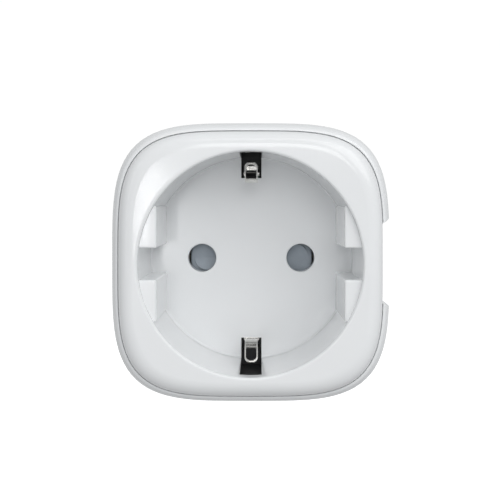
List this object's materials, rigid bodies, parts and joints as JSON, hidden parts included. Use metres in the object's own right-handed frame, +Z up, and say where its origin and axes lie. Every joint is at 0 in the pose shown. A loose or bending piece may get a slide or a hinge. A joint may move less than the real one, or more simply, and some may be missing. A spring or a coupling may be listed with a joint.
{
  "type": "plug-in power meter",
  "caption": "Rounded-square plug-in power meter: an earthed socket in front, a pinned plug behind, metering board, relay and side button inside.",
  "frame": {"origin": "centre of the plug's end face, the face that the pins stand out of", "axes": "+Y into the wall outlet along the pins, +Z up, +X towards the side with the push button"},
  "size_m": [0.0502, 0.077, 0.0502],
  "materials": {
    "cover_white": "glossy white moulded plastic",
    "housing_white": "glossy white moulded plastic",
    "button_white": "satin white plastic",
    "light_guide": "milky translucent plastic",
    "led": "pale epoxy",
    "clip_nickel": "nickel-plated spring metal",
    "pin_nickel": "nickel-plated brass",
    "screw_steel": "zinc-plated steel",
    "spring_steel": "plain spring steel",
    "shutter_grey": "satin bluish-grey plastic",
    "insulator_ivory": "ivory thermoset",
    "contact_brass": "brass",
    "strip_copper": "tinned copper strip",
    "board_green": "green solder mask",
    "relay_dark": "dark moulded case",
    "coil_copper": "enamelled copper wire",
    "capacitor_yellow": "yellow box film capacitor",
    "varistor_blue": "blue epoxy dip",
    "resistor_grey": "grey-green flameproof coating",
    "can_sleeve": "dark shrink sleeve",
    "ferrite": "ferrite drum",
    "chip_black": "black epoxy",
    "shield_tin": "tin-plated can",
    "connector_black": "black nylon",
    "switch_case": "black case with a steel base"
  },
  "bodies": {
    "housing": {"front_cover": "cover_white", "rear_housing": "housing_white", "housing_screws": "screw_steel", "light_guide": "light_guide", "status_led": "led", "clip_holder_top": "connector_black", "clip_holder_bottom": "connector_black", "shutter_spring": "spring_steel", "contact_carrier": "insulator_ivory", "carrier_screws": "screw_steel", "live_contact": "contact_brass", "neutral_contact": "contact_brass", "pin_carrier": "insulator_ivory", "live_pin": "pin_nickel", "neutral_pin": "pin_nickel", "plug_earth_strip_top": "clip_nickel", "plug_earth_strip_bottom": "clip_nickel", "earth_bridge": "clip_nickel", "earth_pin_sleeve": "contact_brass", "main_board": "board_green", "relay_base": "relay_dark", "relay_cover": "relay_dark", "relay_coil": "coil_copper", "relay_yoke": "spring_steel", "relay_fixed_contact": "contact_brass", "film_capacitor": "capacitor_yellow", "varistor": "varistor_blue", "fusible_resistor": "resistor_grey", "capacitor_large": "can_sleeve", "capacitor_small": "can_sleeve", "inductor": "ferrite", "bridge_rectifier": "chip_black", "supply_chip": "chip_black", "metering_chip": "chip_black", "shunt_resistor": "strip_copper", "radio_board": "board_green", "radio_shield": "shield_tin", "board_connector": "connector_black", "switch_body": "switch_case", "live_strip": "strip_copper", "neutral_strip": "strip_copper", "load_strip": "strip_copper"},
    "button": {"push_button": "button_white"},
    "switch_plunger": {"switch_plunger": "connector_black"},
    "shutter": {"shutter": "shutter_grey"},
    "clip_top": {"earth_clip_top": "clip_nickel"},
    "clip_bottom": {"earth_clip_bottom": "clip_nickel"},
    "armature": {"relay_armature": "spring_steel"}
  },
  "joints": [
    {"name": "button_press", "type": "slide", "parent": "housing", "child": "button", "axis": [-1, 0, 0], "range_m": [0, 0.0004], "stiffness_N_per_m": 600},
    {"name": "switch_travel", "type": "slide", "parent": "housing", "child": "switch_plunger", "axis": [-1, 0, 0], "range_m": [0, 0.0004]},
    {"name": "shutter_turn", "type": "hinge", "parent": "housing", "child": "shutter", "pos_m": [0, -0.0375, 0], "axis": [0, -1, 0], "range_deg": [0, 40], "stiffness_Nm_per_rad": 0.002},
    {"name": "clip_top_flex", "type": "hinge", "parent": "housing", "child": "clip_top", "pos_m": [0, -0.037, 0.01635], "axis": [-1, 0, 0], "range_deg": [0, 8], "stiffness_Nm_per_rad": 0.05},
    {"name": "clip_bottom_flex", "type": "hinge", "parent": "housing", "child": "clip_bottom", "pos_m": [0, -0.037, -0.01635], "axis": [1, 0, 0], "range_deg": [0, 8], "stiffness_Nm_per_rad": 0.05},
    {"name": "armature_tilt", "type": "hinge", "parent": "housing", "child": "armature", "pos_m": [-0.0178, -0.0342, 0.0081], "axis": [1, 0, 0], "range_deg": [0, 4], "stiffness_Nm_per_rad": 0.01}
  ],
  "couplings": [
    {"joint": "switch_travel", "follows": "button_press", "ratio": 1}
  ]
}
